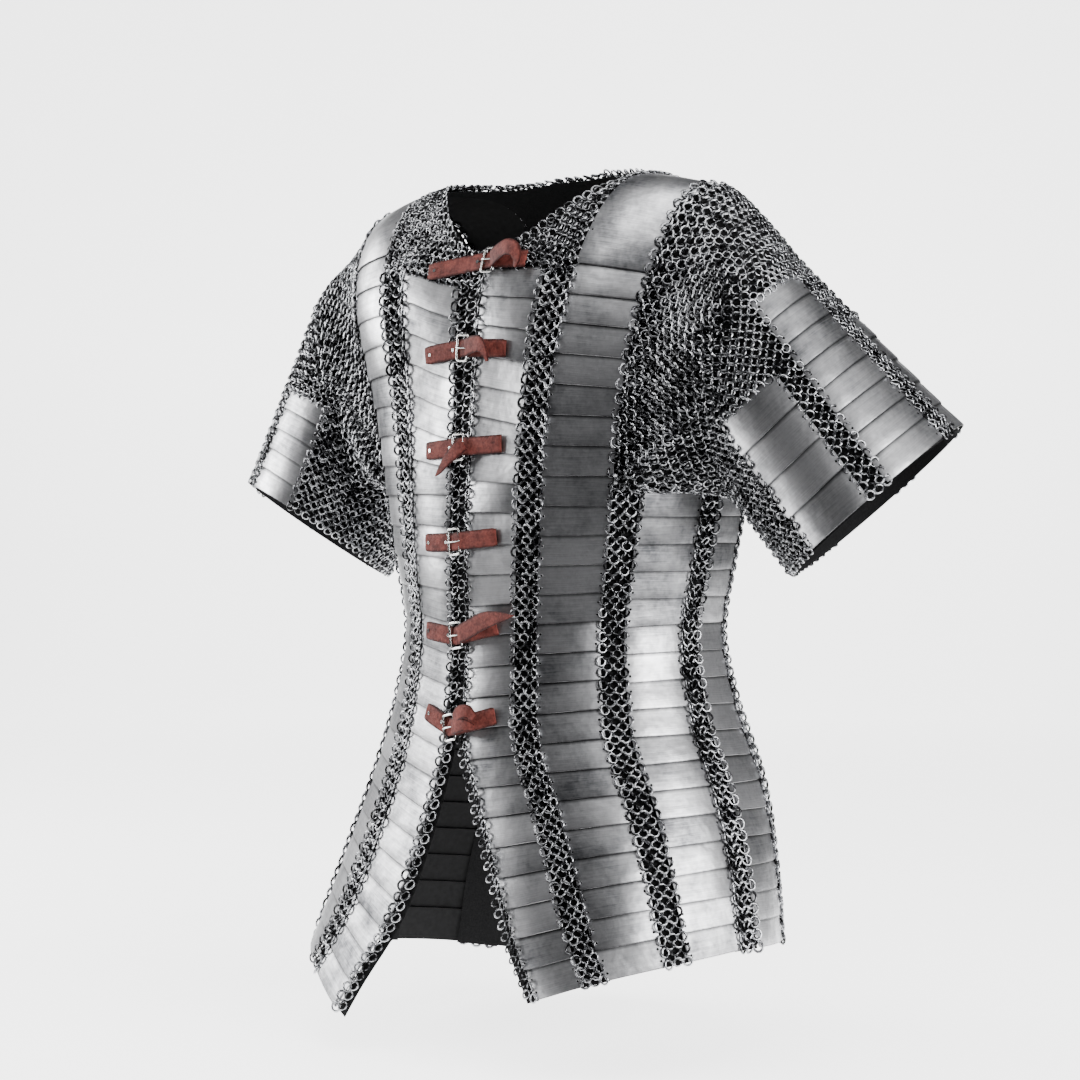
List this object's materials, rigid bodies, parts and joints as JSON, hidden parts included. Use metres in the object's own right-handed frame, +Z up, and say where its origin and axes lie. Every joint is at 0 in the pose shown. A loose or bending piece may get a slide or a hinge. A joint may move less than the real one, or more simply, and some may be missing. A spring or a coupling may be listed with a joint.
{
  "type": "mail and plate coat",
  "caption": "Short-sleeved armour coat of overlapping steel lames in columns, joined by strips of mail, with a buckled front and a slit skirt.",
  "frame": {"origin": "the middle of the shoulder line, where the wearer's shoulders carry the coat", "axes": "+Z up, the front faces -Y, and the wearer's left is +X"},
  "size_m": [0.8669, 0.4059, 0.8389],
  "materials": {
    "satin_steel": "satin steel, brushed across each lame",
    "mail": "worn dark steel rings",
    "strap_leather": "matt red-brown strap leather",
    "buckle_steel": "bright polished steel"
  },
  "bodies": {
    "root": {"back_column_left": "satin_steel", "back_column_right": "satin_steel", "blade_column_left": "satin_steel", "blade_column_right": "satin_steel", "blade_strip_left": "mail", "blade_strip_right": "mail", "border_left": "mail", "border_right": "mail", "buckle_1": "buckle_steel", "buckle_2": "buckle_steel", "buckle_3": "buckle_steel", "buckle_4": "buckle_steel", "buckle_5": "buckle_steel", "buckle_6": "buckle_steel", "chest_column_left": "satin_steel", "chest_column_right": "satin_steel", "chest_strip_left": "mail", "chest_strip_right": "mail", "collar_back_left": "mail", "collar_back_right": "mail", "collar_front_left": "mail", "collar_front_right": "mail", "flank_column_left": "satin_steel", "flank_column_right": "satin_steel", "flank_strip_left": "mail", "flank_strip_right": "mail", "front_column_left": "satin_steel", "front_column_right": "satin_steel", "front_strip_left": "mail", "front_strip_right": "mail", "side_column_left": "satin_steel", "side_column_right": "satin_steel", "side_strip_left": "mail", "side_strip_right": "mail", "sleeve_back_inner_left": "satin_steel", "sleeve_back_inner_right": "satin_steel", "sleeve_back_left": "mail", "sleeve_back_outer_left": "satin_steel", "sleeve_back_outer_right": "satin_steel", "sleeve_back_right": "mail", "sleeve_front_inner_left": "satin_steel", "sleeve_front_inner_right": "satin_steel", "sleeve_front_left": "mail", "sleeve_front_outer_left": "satin_steel", "sleeve_front_outer_right": "satin_steel", "sleeve_front_right": "mail", "sleeve_top_left": "satin_steel", "sleeve_top_right": "satin_steel", "spine_strip": "mail", "strap_1": "strap_leather", "strap_2": "strap_leather", "strap_3": "strap_leather", "strap_4": "strap_leather", "strap_5": "strap_leather", "strap_6": "strap_leather"}
  },
  "joints": []
}
